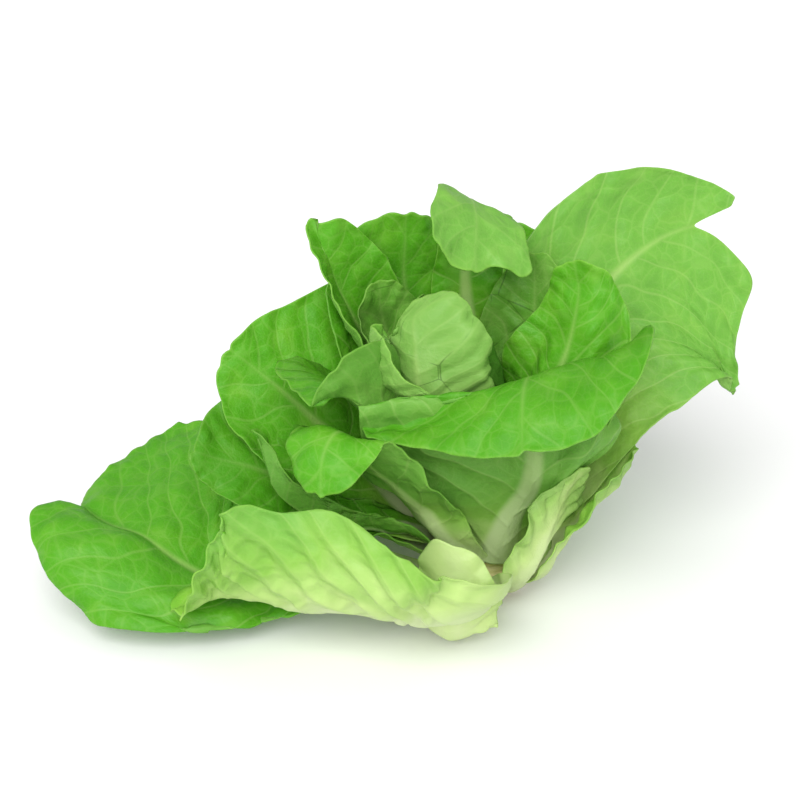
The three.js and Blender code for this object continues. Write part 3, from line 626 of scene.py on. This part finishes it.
def leaf_skin():
    """The Geometry Nodes that turn a blade's middle surface into a leaf with both faces and a rim."""
    tree = bpy.data.node_groups.new("leaf skin", "GeometryNodeTree")
    tree.interface.new_socket("Geometry", in_out="INPUT", socket_type="NodeSocketGeometry")
    for name in SKIN_SIZES:
        tree.interface.new_socket(name, in_out="INPUT", socket_type="NodeSocketFloat")
    tree.interface.new_socket("Finish", in_out="INPUT", socket_type="NodeSocketMaterial")
    tree.interface.new_socket("Geometry", in_out="OUTPUT", socket_type="NodeSocketGeometry")
    given = add(tree, "NodeGroupInput").node.outputs
    place = add(tree, "GeometryNodeInputNamedAttribute", "blade", data_type="FLOAT_VECTOR")
    leaf = add(tree, "GeometryNodeInputNamedAttribute", "leaf", data_type="FLOAT_VECTOR")
    blade_split = add(tree, "ShaderNodeSeparateXYZ", place).node.outputs
    edge = add(tree, "ShaderNodeSeparateXYZ", leaf)
    close = add(tree, "GeometryNodeSubdivisionSurface", given["Geometry"], 1)
    outside, branch, net, _ = veins(tree, place, given["Vein spacing"], given["Seed"])

    # The front rises between the veins, billows softly all over and frills near the rim.
    puff = add(tree, "ShaderNodeMapRange", branch, 0.2, 5.0, 0.0, 0.6, **SMOOTHED)
    cell = add(tree, "ShaderNodeMapRange", net, 0.1, 3.0, 0.0, 0.28, **SMOOTHED)
    puff = add(tree, "ShaderNodeMath:ADD", puff, cell)
    beside = add(tree, "ShaderNodeMapRange", outside, 0.0, 7.0, 0.0, 1.0, **SMOOTHED)
    puff = add(tree, "ShaderNodeMath:MULTIPLY", puff, beside)
    puff = add(tree, "ShaderNodeMath:MULTIPLY", puff, given["Blister height"])
    flat = add(tree, "ShaderNodeCombineXYZ", blade_split["X"], blade_split["Y"], given["Seed"])
    frilling = {"Vector": flat, "Scale": 0.06, "Detail": 2.0, "Roughness": 0.6}
    frill = add(tree, "ShaderNodeTexNoise", named=frilling)
    frill = add(tree, "ShaderNodeMath:SUBTRACT", frill, 0.5)
    frill = add(tree, "ShaderNodeMath:MULTIPLY", frill, given["Frill height"])
    billow = add(tree, "ShaderNodeTexNoise", named={"Vector": flat, "Scale": 0.03, "Detail": 1.0})
    billow = add(tree, "ShaderNodeMath:SUBTRACT", billow, 0.5)
    billow = add(tree, "ShaderNodeMath:MULTIPLY", billow, given["Billow height"])
    near_rim = add(tree, "ShaderNodeMapRange", edge, 0.0, 18.0, 2.0, 0.0, **SMOOTHED)
    frill = add(tree, "ShaderNodeMath:MULTIPLY", frill, near_rim)
    rise = add(tree, "ShaderNodeMath:ADD", puff, frill)
    rise = add(tree, "ShaderNodeMath:ADD", rise, billow)
    grown = add(tree, "ShaderNodeMapRange", blade_split["Z"], 0.05, 0.3, 0.0, MM)
    rise = add(tree, "ShaderNodeMath:MULTIPLY", rise, grown)
    facing = add(tree, "GeometryNodeInputNormal")
    offset = add(tree, "ShaderNodeVectorMath:SCALE", facing, named={"Scale": rise})
    front = add(tree, "GeometryNodeSetPosition", close, named={"Offset": offset})

    # The back lies a blade's thickness below, deeper along the midrib and the branch veins.
    swell = add(tree, "ShaderNodeMapRange", outside, -6.5, 1.5, 1.0, 0.0, **SMOOTHED)
    rest = add(tree, "ShaderNodeMath:SUBTRACT", 1.0, blade_split["Z"])
    swell = add(tree, "ShaderNodeMath:MULTIPLY", swell, rest)
    swell = add(tree, "ShaderNodeMath:MULTIPLY", swell, given["Rib thickness"])
    ridge = add(tree, "ShaderNodeMapRange", branch, 0.0, 1.3, 0.5, 0.0, **SMOOTHED)
    inward = add(tree, "ShaderNodeMapRange", edge, 2.0, 25.0, 0.0, 1.0)
    ridge = add(tree, "ShaderNodeMath:MULTIPLY", ridge, inward)
    depth = add(tree, "ShaderNodeMath:ADD", swell, ridge)
    depth = add(tree, "ShaderNodeMath:ADD", depth, given["Blade thickness"])
    depth = add(tree, "ShaderNodeMath:MULTIPLY", depth, MM)
    upper = add(tree, "GeometryNodeStoreNamedAttribute", front, named={"Name": "under", "Value": 0.0})
    lower = add(tree, "GeometryNodeStoreNamedAttribute", front, named={"Name": "under", "Value": 1.0})
    lower = add(tree, "GeometryNodeFlipFaces", lower)
    lower = add(tree, "GeometryNodeExtrudeMesh", lower, named={"Offset Scale": depth, "Individual": False})
    both = add(tree, "GeometryNodeJoinGeometry", upper)
    tree.links.new(lower, both.node.inputs[0])
    whole = add(tree, "GeometryNodeMergeByDistance", both, named={"Distance": 1e-6})
    whole = add(tree, "GeometryNodeSetShadeSmooth", whole)
    whole = add(tree, "GeometryNodeRealizeInstances", whole)
    whole = add(tree, "GeometryNodeSetMaterial", whole, named={"Material": given["Finish"]})
    add(tree, "NodeGroupOutput", whole)
    return tree


def leaf_material(name, pale, young, middle, full, deep, crease_darkness):
    """Fresh lettuce leaf: a thin waxy cuticle, so soft broad highlights, over green tissue that lets
    some light through. Five greens from its pale base on, then the depth of its painted crease shade."""
    material = bpy.data.materials.new(name)
    material.use_nodes = True
    tree = material.node_tree
    tree.nodes.clear()
    place = add(tree, "ShaderNodeAttribute", attribute_name="blade", out="Vector")
    leaf = add(tree, "ShaderNodeAttribute", attribute_name="leaf", out="Vector")
    under = add(tree, "ShaderNodeAttribute", attribute_name="under", out="Fac")
    tone = add(tree, "ShaderNodeAttribute", attribute_name="tone", out="Fac")
    spacing = add(tree, "ShaderNodeAttribute", attribute_name="spacing", out="Fac")
    split = add(tree, "ShaderNodeSeparateXYZ", place).node.outputs
    edge, green, seed = add(tree, "ShaderNodeSeparateXYZ", leaf).node.outputs
    outside, branch, net, fine = veins(tree, place, spacing, seed)
    flat = add(tree, "ShaderNodeCombineXYZ", split["X"], split["Y"], seed)

    rib = add(tree, "ShaderNodeMapRange", outside, -2.4, 0.8, 1.0, 0.0, **SMOOTHED)
    far = add(tree, "ShaderNodeMapRange", split["Z"], 0.2, 0.95, 0.75, 0.3)
    rib = add(tree, "ShaderNodeMath:MULTIPLY", rib, far)
    branches = add(tree, "ShaderNodeMapRange", branch, 0.1, 0.8, 0.42, 0.0, **SMOOTHED)
    branches = add(tree, "ShaderNodeMath:MULTIPLY", branches, far)
    netted = add(tree, "ShaderNodeMapRange", net, 0.05, 0.6, 0.09, 0.0, **SMOOTHED)
    fines = add(tree, "ShaderNodeMapRange", fine, 0.02, 0.3, 0.05, 0.0, **SMOOTHED)
    vein = add(tree, "ShaderNodeMath:MAXIMUM", rib, branches)
    vein = add(tree, "ShaderNodeMath:MAXIMUM", vein, netted)
    vein = add(tree, "ShaderNodeMath:MAXIMUM", vein, fines)

    cloud = add(tree, "ShaderNodeTexNoise", named={"Vector": flat, "Scale": 0.07, "Detail": 3.0})
    turn = add(tree, "ShaderNodeMath:SUBTRACT", cloud, 0.5)
    turn = add(tree, "ShaderNodeMath:MULTIPLY_ADD", turn, 0.5, green)
    ramp = add(tree, "ShaderNodeValToRGB", turn)
    stops = ramp.node.color_ramp.elements
    stops[0].position, stops[0].color = 0.0, colour(pale)
    stops[1].position, stops[1].color = 1.0, colour(full)
    for position, shade in ((0.3, young), (0.6, middle)):
        stops.new(position).color = colour(shade)
    body = add(tree, "ShaderNodeMapRange", net, 0.0, 3.5, 0.0, 0.5, **SMOOTHED)
    body = add(tree, "ShaderNodeMath:MULTIPLY", body, green)
    body = add(tree, "ShaderNodeMath:MULTIPLY", body, cloud)
    # Over the green, in this order: pale veins and stalk, the duller back, the rim, painted shade along
    # a net of crinkle lines, here and there a brown speck, then the leaf's tone: lighter, or painted shade.
    paler = add(tree, "ShaderNodeMath:MULTIPLY", vein, 0.8)
    stalk = add(tree, "ShaderNodeMapRange", split["Z"], 0.15, 0.6, 0.9, 0.0)
    stalk = add(tree, "ShaderNodeMath:MULTIPLY", stalk, rib)
    lower = add(tree, "ShaderNodeMath:MULTIPLY", under, 0.3)
    rim = add(tree, "ShaderNodeMapRange", edge, 0.3, 1.4, 0.22, 0.0)
    # Patches of the leaf that carry brown specks and, on heart leaves, painted shade along a net of crinkle
    # lines.
    worn_and_shaded = add(tree, "ShaderNodeMapRange", cloud, 0.45, 0.6, 0.0, 1.0)
    crease_lines = {"Vector": flat, "Scale": 0.05}
    painted_crease_shade = add(
        tree, "ShaderNodeTexVoronoi", out="Distance", feature="DISTANCE_TO_EDGE", named=crease_lines,
    )
    painted_crease_shade = add(tree, "ShaderNodeMapRange", painted_crease_shade, 0.002, 0.014, crease_darkness, 0.0, **SMOOTHED)
    painted_crease_shade = add(tree, "ShaderNodeMath:MULTIPLY", painted_crease_shade, worn_and_shaded)
    speck = add(tree, "ShaderNodeTexVoronoi", out="Distance", named={"Vector": flat, "Scale": 0.022})
    speck = add(tree, "ShaderNodeMapRange", speck, 0.012, 0.024, 0.7, 0.0, **SMOOTHED)
    speck = add(tree, "ShaderNodeMath:MULTIPLY", speck, worn_and_shaded)
    # The leaf's tone: above 0 the leaf is lighter; below 0 painted shade lies over it, as on leaves in
    # shadow.
    light = add(tree, "ShaderNodeMath:MAXIMUM", tone, 0.0)
    painted_shade = add(tree, "ShaderNodeMath:MULTIPLY", tone, -1.0)
    painted_shade = add(tree, "ShaderNodeMath:MAXIMUM", painted_shade, 0.0)
    layers = (
        (body, deep), (paler, VEIN_TINT), (stalk, pale), (lower, BACK_TINT), (rim, RIM_TINT),
        (painted_crease_shade, CREASE_SHADE_TINT), (speck, SPECK_TINT), (light, LIGHT_TINT), (painted_shade, PAINTED_SHADE_TINT),
    )
    shade = ramp
    for share, tint in layers:
        parts = {0: share, 6: shade, 7: colour(tint)}
        shade = add(tree, "ShaderNodeMix", data_type="RGBA", out=2, named=parts)

    raised = add(tree, "ShaderNodeMath:MULTIPLY_ADD", under, 2.0, -1.0)
    raised = add(tree, "ShaderNodeMath:MULTIPLY", raised, vein)
    grain = add(tree, "ShaderNodeTexNoise", named={"Vector": flat, "Scale": 0.9, "Detail": 3.0})
    height = add(tree, "ShaderNodeMath:MULTIPLY_ADD", grain, 0.5, raised)
    bump = add(tree, "ShaderNodeBump", named={"Strength": 0.7, "Distance": 0.0005, "Height": height})
    rough = add(tree, "ShaderNodeMapRange", cloud, 0.3, 0.7, 0.36, 0.5)
    cuticle = {"Base Color": shade, "Roughness": rough, "IOR": 1.38, "Specular IOR Level": 0.35}
    skin = add(tree, "ShaderNodeBsdfPrincipled", named={**cuticle, "Normal": bump})
    lit = {0: 0.45, 6: shade, 7: colour(GLOW_TINT)}
    glow = add(tree, "ShaderNodeMix", data_type="RGBA", out=2, named=lit)
    through_light = add(tree, "ShaderNodeBsdfTranslucent", glow, named={"Normal": bump})
    both = add(tree, "ShaderNodeMixShader", 0.22, skin, through_light)
    add(tree, "ShaderNodeOutputMaterial", both)
    return material


SKIN = leaf_skin()
SKIN_SOCKETS = {
    item.name: item.identifier for item in SKIN.interface.items_tree if item.in_out == "INPUT"
}
OUTER_GREENS = ("#f3f6d2", "#d6ec98", "#8ac43e", "#5aab1f", "#378c0c")
HEART_GREENS = ("#eef2d0", "#d3e8a0", "#a5cf6c", "#6fae3c", "#4f9324")
OUTER_LEAF = leaf_material("outer lettuce leaf", *OUTER_GREENS, 0.0)
HEART_LEAF = leaf_material("heart lettuce leaf", *HEART_GREENS, 0.6)


def eased(values, count):
    """The weights that spread a coarse row of values over a fine one in smooth curves."""
    at = np.linspace(0, 1, count + 1)
    return np.stack([through(row, at) for row in np.eye(values)], 1)


def grow(name, leaf, number):
    """One leaf: its blade's middle surface with what the skin and the finish read, then the skin."""
    _, _, _, length = stations[name]
    heart, crumpled = name in HEART_NAMES, name in CRUMPLED_NAMES
    widest = max(leaf["left"][0]) + max(leaf["right"][0])
    rows, columns = round(length / BLADE_STEP), round(widest / BLADE_STEP)
    u, v = np.meshgrid(np.linspace(0, 1, rows + 1), np.linspace(-1, 1, columns + 1), indexing="ij")
    chance = np.random.default_rng(number)
    ragged = 0
    for beat in (5, 9, 17, 29):
        start, turn, _ = chance.uniform(0, 2 * math.pi, 3)
        across = np.sin(beat * v + turn)
        ragged = ragged + np.sin(beat * u * 1.7 + start + 2 * np.sign(v)) * across / beat
    trim = np.clip(RAGGED_TRIM * (1 + ragged * 4), 0, 0.1)
    v_cut = v * (1 - trim * np.abs(v) ** 4)
    u_cut = u * (1 - 0.6 * trim * u**6)
    points, reach, share = blade(leaf, stations[name], u_cut, v_cut)
    to_rows, to_columns = eased(ROWS + 1, rows), eased(COLUMNS + 1, columns)
    points = points + np.einsum("ai,bj,ijc->abc", to_rows, to_columns, gives[name])
    half = np.where(v > 0, through(leaf["left"][0], share), through(leaf["right"][0], share))
    edge = np.minimum(half - reach, (1 - u) * length)
    starts, full = leaf["green"]
    rimward = 0.6 if crumpled else 0.12
    green = np.clip((share + rimward * np.abs(v) - starts) / (full - starts), 0, 1)
    corners = np.arange((rows + 1) * (columns + 1)).reshape(rows + 1, columns + 1)
    around = corners[:-1, :-1], corners[1:, :-1], corners[1:, 1:], corners[:-1, 1:]
    faces = np.stack(around, -1).reshape(-1, 4).tolist()
    mesh = mesh_from(name + "_middle", points.reshape(-1, 3), faces)
    spacing = LONG_LEAF_VEIN_SPACING if length > LONG_LEAF else SHORT_LEAF_VEIN_SPACING
    seed = number * SEED_STEP
    fields = {
        "blade": np.stack([reach * np.sign(v), share * length, share], -1),
        "leaf": np.stack([edge, green, np.full(edge.shape, seed)], -1),
        "tone": np.full(edge.shape, leaf["tone"]),
        "spacing": np.full(edge.shape, spacing),
    }
    for key, field in fields.items():
        kind, slot = ("FLOAT_VECTOR", "vector") if field.ndim == 3 else ("FLOAT", "value")
        values = field.astype(np.float32).ravel()
        mesh.attributes.new(key, kind, "POINT").data.foreach_set(slot, values)
    middle = bpy.data.objects.new(name + "_middle", mesh)
    bpy.context.scene.collection.objects.link(middle)
    skin = middle.modifiers.new("skin", "NODES")
    skin.node_group = SKIN
    blisters = CRUMPLED_BLISTERS if crumpled else HEART_BLISTERS if heart else OUTER_BLISTERS
    sizes = {
        "Blade thickness": BLADE_THICKNESS, "Rib thickness": RIB_THICKNESS, "Vein spacing": spacing,
        "Blister height": blisters, "Billow height": HEART_BILLOW if heart else OUTER_BILLOW,
        "Frill height": FRILL_HEIGHT, "Seed": seed, "Finish": HEART_LEAF if heart else OUTER_LEAF,
    }
    for key, size in sizes.items():
        skin[SKIN_SOCKETS[key]] = size
    ready = middle.evaluated_get(bpy.context.evaluated_depsgraph_get())
    made = bpy.data.meshes.new_from_object(ready)
    made.name = name + "_leaf_blade"
    piece = bpy.data.objects.new(name + "_leaf_blade", made)
    bpy.data.objects.remove(middle)
    bpy.context.scene.collection.objects.link(piece)
    return piece


for number, (name, leaf) in enumerate(LEAVES.items()):
    piece = grow(name, leaf, number)
    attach(piece, "root")
    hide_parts(name + "_leaf")

# ---- floor and light ----
# A plain pale floor, one broad soft light high in front on the left, and an even pale sky.
FLOOR_REACH = 6
FLOOR_HEIGHT = -0.0002
FLOOR_WHITE = (0.9, 0.9, 0.9, 1)
SUN_STRENGTH = 2.9
SUN_SPREAD = math.radians(50)
SUN_TURN = (math.radians(46), math.radians(-14), 0)
SKY_STRENGTH = 0.68

floor_mesh = bpy.data.meshes.new("floor")
floor_square = ((-1, -1), (1, -1), (1, 1), (-1, 1))
floor_corners = [(x * FLOOR_REACH, y * FLOOR_REACH, FLOOR_HEIGHT) for x, y in floor_square]
floor_mesh.from_pydata(floor_corners, [], [(0, 1, 2, 3)])
floor = bpy.data.objects.new("floor", floor_mesh)
bpy.context.scene.collection.objects.link(floor)
paper = bpy.data.materials.new("white paper")
paper.use_nodes = True
paper.node_tree.nodes.clear()
sheet = add(
    paper.node_tree, "ShaderNodeBsdfPrincipled",
    named={"Base Color": FLOOR_WHITE, "Roughness": 0.9, "Specular IOR Level": 0.0},
)
add(paper.node_tree, "ShaderNodeOutputMaterial", sheet)
floor.data.materials.append(paper)

sun_data = bpy.data.lights.new("soft_sun", "SUN")
sun_data.energy = SUN_STRENGTH
sun_data.angle = SUN_SPREAD
sun = bpy.data.objects.new("soft_sun", sun_data)
sun.rotation_euler = SUN_TURN
bpy.context.scene.collection.objects.link(sun)

world = bpy.data.worlds.new("sky")
world.use_nodes = True
world.node_tree.nodes.clear()
sky = add(world.node_tree, "ShaderNodeBackground", (1.0, 1.0, 1.0, 1.0), SKY_STRENGTH)
add(world.node_tree, "ShaderNodeOutputWorld", sky)
bpy.context.scene.world = world
